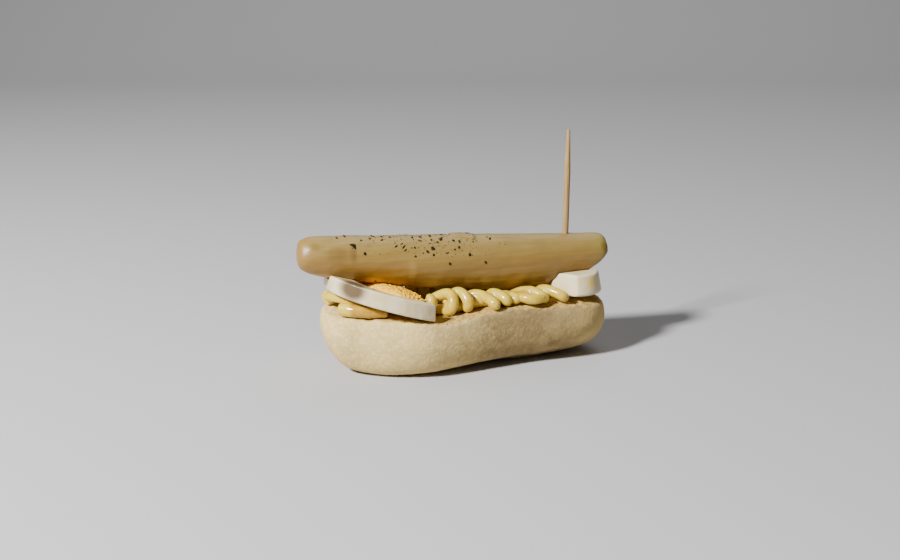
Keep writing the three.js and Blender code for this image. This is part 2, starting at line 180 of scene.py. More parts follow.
def present(piece, finish, slot, *nodes):
    # the finish and the body of a piece, and the solids that it stands for, which are hidden; the slot is not
    # used
    only(piece)
    bpy.ops.object.shade_smooth()
    piece.data.materials.clear()
    piece.data.materials.append(finish.material)
    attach(piece, "root")
    if nodes:
        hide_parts(*nodes)


# Materials

class Wire:
    # a node's output that can be worked with like a number
    def __init__(self, finish, socket):
        self.finish = finish
        self.socket = socket

    def reckon(self, operation, first, second):
        return self.finish.node("ShaderNodeMath", {"operation": operation}, {0: first, 1: second})

    def __add__(self, other):
        return self.reckon("ADD", self, other)

    def __radd__(self, other):
        return self.reckon("ADD", other, self)

    def __sub__(self, other):
        return self.reckon("SUBTRACT", self, other)

    def __rsub__(self, other):
        return self.reckon("SUBTRACT", other, self)

    def __mul__(self, other):
        return self.reckon("MULTIPLY", self, other)

    def __rmul__(self, other):
        return self.reckon("MULTIPLY", other, self)


class Finish:
    def __init__(self, name, **constants):
        self.material = bpy.data.materials.new(name)
        self.material.use_nodes = True
        self.tree = self.material.node_tree
        self.shader = self.tree.nodes["Principled BSDF"]
        for socket, value in constants.items():
            self.shader.inputs[socket.replace("_", " ")].default_value = value
        place = self.node("ShaderNodeTexCoord", {}, {}, "Object")
        # places in millimetres
        self.place = self.node("ShaderNodeVectorMath", {"operation": "SCALE"}, {0: place, "Scale": 1 / mm})
        axes = self.node("ShaderNodeSeparateXYZ", {}, {0: self.place}).socket.node.outputs
        self.x, self.y, self.z = [Wire(self, axes[name]) for name in "XYZ"]

    def node(self, kind, settings, inputs, output=0):
        node = self.tree.nodes.new(kind)
        for name, value in settings.items():
            setattr(node, name, value)
        for name, value in inputs.items():
            if isinstance(value, Wire):
                self.tree.links.new(value.socket, node.inputs[name])
            else:
                node.inputs[name].default_value = value
        return Wire(self, node.outputs[output])

    def noise(self, size, detail=2.0, roughness=0.5, stretch=(1, 1, 1), shift=(0, 0, 0)):
        # a cloudy pattern from 0 to 1 with spots of a size, drawn out along an axis
        scale = [1 / (size * share) for share in stretch]
        where = self.node("ShaderNodeMapping", {}, {0: self.place, "Location": shift, "Scale": scale})
        inputs = {"Vector": where, "Scale": 1.0, "Detail": detail, "Roughness": roughness}
        return self.node("ShaderNodeTexNoise", {}, inputs)

    def cells(self, size):
        # distance to the nearest of many scattered points, in spot sizes
        where = self.node("ShaderNodeMapping", {}, {0: self.place, "Scale": [1 / size] * 3})
        return self.node("ShaderNodeTexVoronoi", {}, {"Vector": where, "Scale": 1.0})

    def rise(self, value, low, high, start=0.0, end=1.0):
        # eases from start to end while the value goes from low to high
        settings = {"interpolation_type": "SMOOTHSTEP", "clamp": True}
        inputs = {0: value, "From Min": low, "From Max": high, "To Min": start, "To Max": end}
        return self.node("ShaderNodeMapRange", settings, inputs)

    def spots(self, pattern, limits):
        return self.rise(self.noise(*pattern), *limits)

    def mix(self, share, first, second):
        settings = {"data_type": "RGBA", "clamp_factor": True}
        return self.node("ShaderNodeMix", settings, {0: share, 6: first, 7: second}, 2)

    def distance(self, middle, reach):
        # how far a place lies from a middle, in shares of the reach along each axis
        apart = self.node("ShaderNodeVectorMath", {"operation": "SUBTRACT"}, {0: self.place, 1: middle})
        shares = self.node("ShaderNodeVectorMath", {"operation": "DIVIDE"}, {0: apart, 1: reach})
        return self.node("ShaderNodeVectorMath", {"operation": "LENGTH"}, {0: shares}, "Value")

    def upward(self):
        # the skin's own direction: 1 faces straight up, -1 straight down
        normal = self.node("ShaderNodeNewGeometry", {}, {}, "Normal")
        return self.node("ShaderNodeSeparateXYZ", {}, {0: normal}, "Z")

    def colour(self, value):
        self.tree.links.new(value.socket, self.shader.inputs["Base Color"])

    def roughness(self, value):
        self.tree.links.new(value.socket, self.shader.inputs["Roughness"])

    def bump(self, height, depth, strength):
        # depth in millimetres for a height from 0 to 1
        inputs = {"Height": height, "Strength": strength, "Distance": depth * mm}
        bump = self.node("ShaderNodeBump", {}, inputs, "Normal")
        self.tree.links.new(bump.socket, self.shader.inputs["Normal"])


# In the looks below, a pattern is a spot size in millimetres, then detail, roughness, stretch and shift.
# Limits say between which values a change runs, and from what to what. Relief is a depth and a strength.

breadLooks = {
    "crust": tint(216, 188, 122),
    "clouds": (6, 4, 0.6),
    "cloudLimits": (0.4, 0.62),
    "cloudShare": 0.18,
    # painted shade: this darker colour is laid on the crust towards the roll's right end, where the flour
    # also thins out; a little of it is mixed in at random as mottle
    "shade": tint(130, 107, 70),
    "shadeAlong": (-22, 12, 0.0, 0.74),
    "shadeFades": (26, 40, 1.0, 0.35),
    "flour": tint(230, 209, 150),
    "dust": (1.2, 5, 0.65, (1, 1, 1), (7, 3, 1)),
    "dustLimits": (0.46, 0.68),
    "dustAlong": (-36, 20, 0.8, 0.1),
    "pit": tint(166, 131, 73),
    "pits": (0.9, 5, 0.65),
    "pitLimits": (0.6, 0.78),
    "pitShare": 0.35,
    "crumb": tint(192, 161, 90),
    "hole": tint(152, 115, 48),
    "holes": (0.9, 4, 0.6),
    "holeLimits": (0.42, 0.7),
    "cutFacing": (0.72, 0.95),
    "cutHeight": (13, 15),
    "cutAlong": (-39, -34),
    "grain": (0.6, 4, 0.6),
    "pitRelief": 0.4,
    "relief": (0.2, 0.85),
}


def makeBreadFinish():
    looks = breadLooks
    finish = Finish("bread", Roughness=0.92, Specular_IOR_Level=0.2)
    pits = finish.noise(*looks["pits"])
    clouds = finish.spots(looks["clouds"], looks["cloudLimits"])
    dust = finish.spots(looks["dust"], looks["dustLimits"])
    # painted shade: the crust is coloured darker along the roll towards its right end, easing back a little
    # at the very end, and the flour dust thins out the same way
    paintedShade = finish.rise(finish.x, *looks["shadeAlong"]) * finish.rise(finish.x, *looks["shadeFades"])
    crust = finish.mix(clouds * looks["cloudShare"] + paintedShade, looks["crust"], looks["shade"])
    crust = finish.mix(dust * finish.rise(finish.x, *looks["dustAlong"]), crust, looks["flour"])
    crust = finish.mix(finish.rise(pits, *looks["pitLimits"]) * looks["pitShare"], crust, looks["pit"])
    crumb = finish.mix(finish.spots(looks["holes"], looks["holeLimits"]), looks["crumb"], looks["hole"])
    cut = finish.rise(finish.upward(), *looks["cutFacing"]) * finish.rise(finish.z, *looks["cutHeight"])
    finish.colour(finish.mix(cut * finish.rise(finish.x, *looks["cutAlong"]), crust, crumb))
    finish.bump(finish.noise(*looks["grain"]) + pits * looks["pitRelief"], *looks["relief"])
    return finish


mayonnaiseLooks = {
    "pale": tint(206, 181, 62),
    "rich": tint(200, 163, 44),
    "clouds": (4, 2),
    "cloudLimits": (0.4, 0.65),
    # painted shade: a patchy tan for the rope under the slice's front, where the slice shades it
    "soaked": tint(174, 128, 29),
    "soakedAlong": (-38.6, -37.2),
    "soakedAcross": (-7.5, -5.5, 1.0, 0.0),
    "soakedClouds": (2.4, 3, 0.6, (2, 1, 1)),
    "soakedLimits": (0.3, 0.7, 0.6, 1.0),
    "smears": (1.6, 2),
    "smearLimits": (0.3, 0.7, 0.2, 0.32),
    "grain": (0.8, 2),
    "relief": (0.04, 0.5),
}


def makeMayonnaiseFinish(name, gloss, soaked=False):
    looks = mayonnaiseLooks
    finish = Finish(
        name,
        Subsurface_Weight=0.5,
        Subsurface_Radius=(1.0, 0.7, 0.14),
        Subsurface_Scale=1.2 * mm,
        Coat_Weight=gloss,
        Coat_Roughness=0.07,
    )
    colour = finish.mix(finish.spots(looks["clouds"], looks["cloudLimits"]), looks["pale"], looks["rich"])
    if soaked:
        # painted shade: the rope under the slice's front is coloured a patchy tan where the slice shades it
        sliceShaded = finish.rise(finish.x, *looks["soakedAlong"]) * finish.rise(finish.y, *looks["soakedAcross"])
        clouds = finish.spots(looks["soakedClouds"], looks["soakedLimits"])
        colour = finish.mix(sliceShaded * clouds, colour, looks["soaked"])
    finish.colour(colour)
    finish.roughness(finish.spots(looks["smears"], looks["smearLimits"]))
    finish.bump(finish.noise(*looks["grain"]), *looks["relief"])
    return finish


eggWhiteLooks = {
    "white": tint(222, 209, 171),
    "warm": tint(213, 193, 145),
    "clouds": (6, 3),
    "cloudLimits": (0.4, 0.68),
    "stainLimits": (0.4, 1.0),
    "smears": (1.2, 3),
    "smearLimits": (0.3, 0.7, 0.34, 0.5),
    "grain": (1.4, 3),
    "strokes": (0.5, 2, 0.5, (1, 1, 9)),
    "strokeShare": 0.35,
    "relief": (0.05, 0.6),
}
# What marks each white: middle, reach along each axis, colour and strength; on the left white it is painted
# shade under the spear's tip, on the right a dab of yolk
paintedSpearShade = ((-37.0, -11.3, 28.0), (5.4, 8.0, 4.8), tint(84, 60, 24), 0.95)
yolkDab = ((37.0, -10.9, 23.8), (1.7, 3.0, 1.5), tint(240, 205, 80), 0.95)


def makeEggWhiteFinish(name, dabAndPaintedShade):
    looks = eggWhiteLooks
    finish = Finish(
        name,
        Subsurface_Weight=0.25,
        Subsurface_Radius=(1.0, 0.8, 0.5),
        Subsurface_Scale=1.2 * mm,
        Coat_Weight=0.12,
        Coat_Roughness=0.25,
    )
    colour = finish.mix(finish.spots(looks["clouds"], looks["cloudLimits"]), looks["white"], looks["warm"])
    middle, reach, dabAndShadeColour, strength = dabAndPaintedShade
    # on the left white this is painted shade: a brown patch on the rim under the spear's tip
    dabAndShadeShare = finish.rise(finish.distance(middle, reach), *looks["stainLimits"], strength, 0.0)
    finish.colour(finish.mix(dabAndShadeShare, colour, dabAndShadeColour))
    finish.roughness(finish.spots(looks["smears"], looks["smearLimits"]))
    strokes = finish.noise(*looks["strokes"]) * looks["strokeShare"]
    finish.bump(finish.noise(*looks["grain"]) + strokes, *looks["relief"])
    return finish


yolkLooks = {
    "yolk": tint(240, 178, 3),
    "pale": tint(248, 198, 8),
    "grainSize": 0.75,
    "grainLimits": (0.15, 0.75),
    "deep": tint(216, 142, 0),
    "clouds": (0.9, 4, 0.6),
    "cloudLimits": (0.5, 0.72),
    "relief": (0.3, 0.9),
}


def makeYolkFinish():
    looks = yolkLooks
    finish = Finish("eggYolk", Roughness=0.85, Subsurface_Weight=0.05, Subsurface_Scale=0.5 * mm)
    grain = finish.cells(looks["grainSize"])
    colour = finish.mix(finish.rise(grain, *looks["grainLimits"]), looks["pale"], looks["yolk"])
    colour = finish.mix(finish.spots(looks["clouds"], looks["cloudLimits"]), colour, looks["deep"])
    finish.colour(colour)
    finish.bump(1 - grain, *looks["relief"])
    return finish


asparagusLooks = {
    "skin": tint(139, 116, 61),
    # painted shade and bounce light: by which way the skin faces, its lower half gets the deeper colour and
    # its underside a golden one; the deeper colour also tints the tip
    "rich": tint(136, 103, 39),
    "richFacing": (-0.3, 0.85, 1.0, 0.0),
    "tipAlong": (-49.8, -43, 0.45, 0.0),
    "under": tint(172, 125, 42),
    "underFacing": (-0.98, -0.5, 1.0, 0.0),
    "pale": tint(164, 139, 75),
    "threads": (1.2, 4, 0.6, (26, 1, 1)),
    "threadLimits": (0.52, 0.72),
    "threadShare": 0.3,
    "bruise": tint(116, 89, 42),
    "patches": (7, 4, 0.55, (1.8, 1, 1), (3, 9, 4)),
    "patchLimits": (0.52, 0.72),
    "patchShare": 0.3,
    "cut": tint(147, 134, 66),
    "cutAlong": (37, 45),
    "cutShare": 0.45,
    "moss": tint(110, 89, 26),
    "spotLimits": (0.3, 1.0),
    "gloss": (0.35, 0.65, 0.38, 0.52),
    "grain": (0.7, 3),
    "grainShare": 0.25,
    "relief": (0.1, 0.5),
}
# Marks on the spear: middle, reach along each axis, colour and strength
asparagusSpots = [
    ((-40.0, -5.0, 37.0), (5.0, 4.0, 2.4), "bruise", 0.7),
    ((-46.3, -3.6, 39.2), (2.0, 3.0, 1.8), "moss", 0.5),
    ((-35.6, -5.5, 36.9), (1.4, 3.4, 4.2), "bruise", 0.75),
    ((-18.2, -6.5, 30.0), (1.6, 3.5, 5.4), "pale", 0.4),
    ((43.8, -4.0, 33.0), (1.6, 4.0, 2.6), "moss", 0.7),
]


def makeAsparagusFinish():
    looks = asparagusLooks
    finish = Finish(
        "asparagus",
        Subsurface_Weight=0.25,
        Subsurface_Radius=(1.0, 0.6, 0.2),
        Subsurface_Scale=1.4 * mm,
        Coat_Weight=0.06,
        Coat_Roughness=0.35,
    )
    up = finish.upward()
    threads = finish.noise(*looks["threads"])
    patches = finish.noise(*looks["patches"])
    # painted shade and bounce light: the skin is coloured deeper on its lower half and golden on its
    # underside, by which way it faces
    colour = finish.mix(finish.rise(up, *looks["richFacing"]), looks["skin"], looks["rich"])
    layers = [
        (finish.rise(up, *looks["underFacing"]), "under"),
        (finish.rise(threads, *looks["threadLimits"]) * looks["threadShare"], "pale"),
        (finish.rise(patches, *looks["patchLimits"]) * looks["patchShare"], "bruise"),
        (finish.rise(finish.x, *looks["tipAlong"]), "rich"),
        (finish.rise(finish.x, *looks["cutAlong"]) * looks["cutShare"], "cut"),
    ]
    for middle, reach, spot, strength in asparagusSpots:
        apart = finish.distance(middle, reach)
        layers.append((finish.rise(apart, *looks["spotLimits"], strength, 0.0), spot))
    for share, name in layers:
        colour = finish.mix(share, colour, looks[name])
    finish.colour(colour)
    finish.roughness(finish.rise(patches, *looks["gloss"]))
    finish.bump(threads + finish.noise(*looks["grain"]) * looks["grainShare"], *looks["relief"])
    return finish


pepperLooks = {
    "dark": tint(38, 27, 14),
    "brown": tint(92, 66, 36),
    "clouds": (1.3, 3, 0.6),
    "cloudLimits": (0.5, 0.72),
    "grain": (0.25, 3),
    "relief": (0.06, 0.7),
}


def makePepperFinish():
    looks = pepperLooks
    finish = Finish("pepper", Roughness=0.85, Specular_IOR_Level=0.1)
    clouds = finish.spots(looks["clouds"], looks["cloudLimits"])
    finish.colour(finish.mix(clouds, looks["dark"], looks["brown"]))
    finish.bump(finish.noise(*looks["grain"]), *looks["relief"])
    return finish


woodLooks = {
    "pale": tint(161, 133, 87),
    "grain": tint(135, 102, 58),
    "fibres": (0.3, 4, 0.6, (1, 1, 30)),
    "fibreLimits": (0.42, 0.7),
    "relief": (0.05, 0.6),
}


def makeWoodFinish():
    looks = woodLooks
    finish = Finish("wood", Roughness=0.7, Specular_IOR_Level=0.3)
    fibres = finish.noise(*looks["fibres"])
    finish.colour(finish.mix(finish.rise(fibres, *looks["fibreLimits"]), looks["pale"], looks["grain"]))
    finish.bump(fibres, *looks["relief"])
    return finish


crumbLooks = {
    "crumb": (tint(212, 190, 138), tint(176, 144, 84)),
    "speck": (tint(132, 110, 52), tint(86, 70, 30)),
    "clouds": (0.9, 3, 0.6),
    "cloudLimits": (0.4, 0.66),
    "grain": (0.3, 3),
    "relief": (0.06, 0.7),
}


def makeCrumbFinish(name):
    looks = crumbLooks
    finish = Finish(name, Roughness=0.9)
    finish.colour(finish.mix(finish.spots(looks["clouds"], looks["cloudLimits"]), *looks[name]))
    finish.bump(finish.noise(*looks["grain"]), *looks["relief"])
    return finish


# Camera, floor and light

view = {
    "place": (-111.46, -349.17, 123.0),  # millimetres
    "tilt": 75.0,  # from straight down
    "heading": -17.0,
    "lens": 50.0,
    "sensor": 36.0,
}
# The paper and the lamps are measured in metres
stage = {
    "floor": tint(181, 180, 181),
    "width": 6.0,
    "front": 1.4,
    "back": 1.5,
    "wall": 2.4,
    "bend": 0.7,
    "bendSteps": 24,
}
lighting = {
    "target": (0, 0, 0.02),
    "keyFrom": (-0.90, -0.44),
    "keyHeight": 38.0,
    "keyDistance": 0.85,
    "keySize": 0.12,
    "keyPower": 20.0,
    "fillPlace": (0.4, 0.8, 1.2),
    "fillSize": 1.2,
    "fillPower": 7.0,
    "sky": tint(226, 220, 214),
    "skyStrength": 0.113,
}


def makeCamera():
    bpy.ops.object.camera_add(location=[value * mm for value in view["place"]])
    camera = renamed("camera")
    camera.rotation_euler = (view["tilt"] * degrees, 0, view["heading"] * degrees)
    camera.data.lens = view["lens"]
    camera.data.sensor_width = view["sensor"]
    bpy.context.scene.camera = camera


def makeStage():
    # a sheet of paper that lies flat under the food and curves up behind it
    bpy.ops.mesh.primitive_plane_add(size=1)
    sheet = renamed("floor")
    editAll(sheet)
    bpy.ops.transform.resize(value=(stage["width"], stage["front"] + stage["back"], 1))
    bpy.ops.transform.translate(value=(0, (stage["back"] - stage["front"]) / 2, 0))
    bpy.ops.mesh.select_all(action="DESELECT")
    selectPoints(sheet, lambda place, normal: place.y > 0)
    bpy.ops.mesh.extrude_region_move(TRANSFORM_OT_translate={"value": (0, 0, stage["wall"])})
    bpy.ops.mesh.select_all(action="DESELECT")
    selectPoints(sheet, lambda place, normal: place.y > 0 and place.z < stage["wall"] / 2)
    bpy.ops.mesh.bevel(offset=stage["bend"], segments=stage["bendSteps"])
    doneEditing()
    sheet.rotation_euler = (0, 0, view["heading"] * degrees)
    settle(sheet)
    bpy.ops.object.shade_smooth()
    finish = Finish("paper", Roughness=0.85, Base_Color=stage["floor"], Specular_IOR_Level=0.2)
    sheet.data.materials.append(finish.material)


def addLamp(name, place):
    bpy.ops.object.light_add(type="AREA", location=place)
    lamp = renamed(name)
    lamp.data.size = lighting[name + "Size"]
    lamp.data.energy = lighting[name + "Power"]
    lamp.rotation_euler = (Vector(lighting["target"]) - lamp.location).to_track_quat("-Z", "Y").to_euler()
    return lamp


def makeLights():
    east, north = lighting["keyFrom"]
    height = lighting["keyHeight"] * degrees
    reach = lighting["keyDistance"]
    place = (east * math.cos(height) * reach, north * math.cos(height) * reach, math.sin(height) * reach)
    addLamp("key", place).data.shape = "DISK"
    addLamp("fill", lighting["fillPlace"])
    world = bpy.data.worlds.new("studio")
    world.use_nodes = True
    sky = world.node_tree.nodes["Background"]
    sky.inputs["Color"].default_value = lighting["sky"]
    sky.inputs["Strength"].default_value = lighting["skyStrength"]
    bpy.context.scene.world = world


makeCamera()
makeStage()
makeLights()
print("camera, floor and lights are set")

breadFinish = makeBreadFinish()
mayonnaiseFinish = makeMayonnaiseFinish("mayonnaise", 0.5)
backFinish = makeMayonnaiseFinish("mayonnaiseBack", 0.08)
# the end piping's finish carries painted shade where the slice covers the rope
sliceShadowFinish = makeMayonnaiseFinish("mayonnaiseSliceShadow", 0.15, soaked=True)
whiteLeftFinish = makeEggWhiteFinish("eggWhiteLeft", paintedSpearShade)
whiteRightFinish = makeEggWhiteFinish("eggWhiteRight", yolkDab)
yolkFinish = makeYolkFinish()
asparagusFinish = makeAsparagusFinish()
pepperFinish = makePepperFinish()
woodFinish = makeWoodFinish()
crumbFinish = makeCrumbFinish("crumb")
speckFinish = makeCrumbFinish("speck")
print("materials are mixed")


# The roll's lower half: each relief is a size and a depth

roll = {
    "rounding": 2,
    "voxel": 0.4,
    "smoothing": 2,
    "cutFrom": 12,
    "cutFacing": 0.6,
    "lump": (7.0, 0.28),
    "crease": (3.2, 0.1),
    "creaseStretch": (1.3, 1.3, 0.8),
    "pore": (0.7, 0.09),
    "cutGrain": (1.5, 0.4),
    "cutHole": (2.4, 0.4),
    "level": 0.6,  # the value of a relief that leaves the skin where it is
    "holeLevel": 0.45,
    "flat": 0.12,
}


def makeRoll():
    piece = copyOfNode("bread_base", "roll")
    modify(piece, "SUBSURF", levels=roll["rounding"], render_levels=roll["rounding"])
    fuse(piece, roll["voxel"], roll["smoothing"], 0)
    groupPoints(
        piece, "cut", lambda place, normal: normal.z > roll["cutFacing"] and place.z > roll["cutFrom"] * mm
    )
    level = roll["level"]
    roughen(piece, "CLOUDS", *roll["lump"], level=level)
    roughen(piece, "CLOUDS", *roll["crease"], roll["creaseStretch"], level=level, seed=2, noise_depth=3)
    roughen(piece, "CLOUDS", *roll["pore"], level=level, seed=3, noise_depth=2)
    roughen(piece, "CLOUDS", *roll["cutGrain"], level=level, group="cut", seed=4, noise_depth=3)
    roughen(piece, "VORONOI", *roll["cutHole"], level=roll["holeLevel"], group="cut", seed=5)
    # what the roll rests on is pressed flat again
    editAll(piece)
    selectPoints(piece, lambda place, normal: place.z < roll["flat"] * mm)
    bpy.ops.transform.resize(value=(1, 1, 0), center_override=(0, 0, 0))
    doneEditing()
    present(piece, breadFinish, "bread", "bread_base")
    return piece


breadRoll = makeRoll()
print("the roll is baked")


# Piped mayonnaise

piping = {
    "rope": 1.55,  # radius
    "swing": 2.3,  # how far a loop swings to and fro across its row
    "bulge": 0.9,  # and along it
    "sunk": 0.15,  # how deep a rope lies in the crumb
    "steps": 18,  # places in one loop
    "lastShare": 0.58,  # how much of the last loop there is
    "lastPitch": 1.0,
    "taper": 4,  # places in which an end thins out
    "blunt": 0.4,
    "longRope": 20,  # with more places than this, a rope takes fewer steps between them
    "fewSteps": 4,
    "manySteps": 14,
    "roundness": 6,
    "voxel": 0.26,
    "smoothing": 6,
    "swell": 0.1,
    "unevenness": (2.6, 0.16),
}
# The two rows: which side of the roll they lie on, and how far out they crest
frontRow = (-1, 7.8)
backRow = (1, 9.0)
# A plain bed inside each row: its two ends along the roll and its middle across it
beds = {
    "front": (-12.2, 23.2, -8.2),
    "back": (-18.8, 28.8, 9.8),
    "radius": 1.75,
    "endShare": 0.6,
    "steps": 9,
}
# Each front loop: where the strand crests, where it touches the roll, half its height,
# and how far out its foot is
frontLoops = [
    (-14.1, -14.4, 2.2, -1.2),
    (-7.7, -8.3, 2.4, 1.8),
    (-4.3, -2.6, 2.2, 2.1),
    (1.9, 5.2, 1.1, 4.9),
    (7.3, 9.6, 0.95, 1.8),
    (11.8, 12.2, 0.3, 0.4),
    (18.4, 21.7, 0.85, 1.8),
    (23.6, 28.0, 0.85, 2.5),
]
backLoops = {
    "count": 10,
    "firstX": -19.5,
    "pitch": 5.4,
    "waver": 0.6,
    "lean": (1.56, 3.2),
    "halfHeight": (1.1, 1.8),
    "out": 1.95,
}
# Loose ropes: places of the middle, and the radius there
looseRope = [
    (13.6, -9.2, 21.2, 1.1),
    (15.6, -11.8, 20.9, 1.5),
    (18.0, -12.9, 20.7, 1.5),
    (20.8, -12.5, 20.6, 1.1),
]
endRopes = [
    [
        (-41.6, 4.6, 21.5, 2.1),
        (-39.4, 6.8, 21.0, 1.7),
        (-36.5, 8.7, 20.6, 1.3),
        (-33.0, 9.6, 20.0, 0.7),
    ],
    [
        (-40.0, -6.8, 20.9, 1.9),
        (-36.8, -9.6, 20.9, 1.85),
        (-32.5, -11.6, 20.5, 1.6),
        (-27.6, -12.8, 19.8, 0.7),
    ],
    [
        (-31.6, -9.8, 21.5, 0.6),
        (-35.2, -8.8, 22.4, 0.85),
        (-38.8, -4.4, 22.8, 0.9),
        (-41.0, 1.0, 22.5, 1.2),
        (-41.4, 4.0, 22.0, 1.5),
    ],
]
rollTop = {
    "height": 18.75,
    "dip": 1.9,
    "dipX": -10.5,
    "dipReach": 9.0,
    "drop": 1.7,
    "dropFrom": 30.0,
    "end": 44.5,
}


def rollTopAt(x):
    dip = rollTop["dip"] * math.exp(-(((x - rollTop["dipX"]) / rollTop["dipReach"]) ** 2))
    return rollTop["height"] - dip - rollTop["drop"] * ease(x, rollTop["dropFrom"], rollTop["end"])


def drawn(index, kind):
    # the same draw from 0 to 1 each time for one loop and one choice
    mixed = math.sin(index * 12.9898 + kind * 78.233 + 4.1) * 43758.5453
    return mixed - math.floor(mixed)


def makeBackLoops():
    loops = []
    for number in range(backLoops["count"]):
        waver = backLoops["waver"] * (2 * drawn(number, 7) - 1)
        crest = backLoops["firstX"] + backLoops["pitch"] * number + waver
        foot = crest + between(backLoops["lean"], drawn(number, 8))
        loops.append((crest, foot, between(backLoops["halfHeight"], drawn(number, 9)), backLoops["out"]))
    return loops


def loopPlaces(loops, row):
    # the whole row's middle line with its radius, loop after loop
    places = []
    side, crestOut = row
    for number, (crest, foot, halfHeight, out) in enumerate(loops):
        last = number == len(loops) - 1
        nextCrest = foot + piping["lastPitch"] if last else loops[number + 1][0]
        nextHalfHeight = halfHeight if last else loops[number + 1][2]
        pitch = nextCrest - crest
        lean = foot - crest - pitch / 2
        count = round(piping["steps"] * piping["lastShare"]) + 1 if last else piping["steps"]
        for step in range(count):
            share = step / piping["steps"]
            turn = share * 2 * math.pi
            down = (1 - math.cos(turn)) / 2
            x = crest + pitch * share + lean * down + piping["bulge"] * math.sin(turn)
            y = side * (crestOut + piping["swing"] * math.sin(turn) + out * down)
            high = 2 * between((halfHeight, nextHalfHeight), share) * (1 - down)
            places.append((x, y, rollTopAt(x) + piping["rope"] - piping["sunk"] + high, piping["rope"]))
    return places


def bedPlaces(row):
    low, high, y = beds[row]
    places = []
    for step in range(beds["steps"] + 1):
        x = between((low, high), step / beds["steps"])
        radius = beds["radius"] * (beds["endShare"] if step in (0, beds["steps"]) else 1)
        places.append((x, y, rollTopAt(x) + beds["radius"], radius))
    return places


def tapered(places):
    # rounds off both ends of a rope
    ready = []
    for number, (x, y, z, radius) in enumerate(places):
        fromEnd = min(number, len(places) - 1 - number)
        share = min(1, (fromEnd + piping["blunt"]) / piping["taper"])
        ready.append((x, y, z, radius * math.sqrt(share * (2 - share))))
    return ready


def makeRope(places, name):
    # a round bevelled path through the places, made a mesh
    bpy.ops.curve.primitive_bezier_curve_add()
    rope = renamed(name)
    spline = rope.data.splines[0]
    spline.bezier_points.add(len(places) - 2)
    for point, (x, y, z, radius) in zip(spline.bezier_points, places):
        point.co = (x * mm, y * mm, z * mm)
        point.radius = radius
        point.handle_left_type = "AUTO"
        point.handle_right_type = "AUTO"
    long = len(places) > piping["longRope"]
    rope.data.resolution_u = piping["fewSteps"] if long else piping["manySteps"]
    rope.data.bevel_depth = mm
    rope.data.bevel_resolution = piping["roundness"]
    rope.data.use_fill_caps = True
    bpy.ops.object.convert(target="MESH")
    return bpy.context.object


def makePiping(ropes, name, finish, node):
    piece = joinPieces([makeRope(places, name) for places in ropes], name)
    fuse(piece, piping["voxel"], piping["smoothing"], piping["swell"])
    roughen(piece, "CLOUDS", *piping["unevenness"], seed=6)
    present(piece, finish, "mayonnaise", node)


frontRopes = [tapered(loopPlaces(frontLoops, frontRow)), bedPlaces("front"), looseRope]
backRopes = [tapered(loopPlaces(makeBackLoops(), backRow)), bedPlaces("back")]
makePiping(frontRopes, "piping_front", mayonnaiseFinish, "mayonnaise_front")
makePiping(backRopes, "piping_back", backFinish, "mayonnaise_back")
makePiping(endRopes, "piping_end", sliceShadowFinish, "mayonnaise_end")
print("the mayonnaise is piped")


# Boiled egg

egg = {
    "voxel": 0.28,
    "smoothing": 3,
    "swell": 0.03,
    "sliceUnevenness": (3.0, 0.12),
    "wedgeSmoothing": 14,
    "wedgeUnevenness": (3.0, 0.15),
    "yolkVoxel": 0.26,
    "yolkSmoothing": 3,
    "yolkSwell": 0.1,
    "yolkGrain": (0.8, 0.45),
    "yolkLumps": (1.3, 0.35),
}


def makeSlice():
    piece = copyOfNode("egg_white_left", "white_left")
    fuse(piece, egg["voxel"], egg["smoothing"], egg["swell"])
    roughen(piece, "CLOUDS", *egg["sliceUnevenness"], seed=7)
    present(piece, whiteLeftFinish, "egg_white", "egg_white_left")
    return piece


def makeWedge():
    piece = copyOfNode("egg_white_right", "white_right")
    fuse(piece, egg["voxel"], egg["wedgeSmoothing"], egg["swell"])
    roughen(piece, "CLOUDS", *egg["wedgeUnevenness"], seed=8)
    present(piece, whiteRightFinish, "egg_white", "egg_white_right")


def makeYolk():
    piece = copyOfNode("egg_yolk_left", "yolk_left")
    fuse(piece, egg["yolkVoxel"], egg["yolkSmoothing"], egg["yolkSwell"])
    roughen(piece, "CLOUDS", *egg["yolkGrain"], seed=9, noise_depth=2)
    roughen(piece, "VORONOI", *egg["yolkLumps"], seed=10)
    present(piece, yolkFinish, "egg_yolk", "egg_yolk_left")
    return piece


whiteLeft = makeSlice()
makeWedge()
yolkLeft = makeYolk()
print("the egg is sliced")


# White asparagus

spear = {
    "y": 0.8,
    "sides": 40,
    "rounding": 3,
    "bellyDepth": 0.34,
    "bellyRange": (-8.0, 18.0, 26.0, 34.0),  # where the belly starts, is full, stops being full and ends
    "leafPoints": 16,
    "leafTip": 0.04,
    "leafWall": 0.6,
    "leafDrop": 2.0,
    "bevelPlace": (45.6, 31.4),
    "bevelSlope": 43.0,
    "voxel": 0.4,
    "smoothing": 8,
    "swell": 0.06,
    "dents": (6.0, 0.5),
    "dentStretch": (1.6, 1, 1),
    "threads": (1.3, 0.2),
    "threadStretch": (24, 1, 1),
}
# Place along the roll, height of the middle, radius
spearSections = [
    (-50.75, 35.9, 1.2),
    (-50.75, 35.9, 2.6),
    (-50.1, 35.9, 4.1),
    (-48.3, 35.7, 5.2),
    (-43.2, 34.9, 6.15),
    (-34.5, 34.0, 6.65),
    (-20.0, 32.1, 7.7),
    (-8.0, 31.2, 8.1),
    (3.0, 30.8, 7.9),
    (12.0, 30.5, 7.6),
    (27.0, 30.4, 6.8),
    (40.0, 30.5, 6.1),
    (43.4, 30.6, 5.75),
    (45.1, 31.0, 4.9),
    (45.7, 31.2, 3.8),
    (45.7, 31.2, 1.5),
]
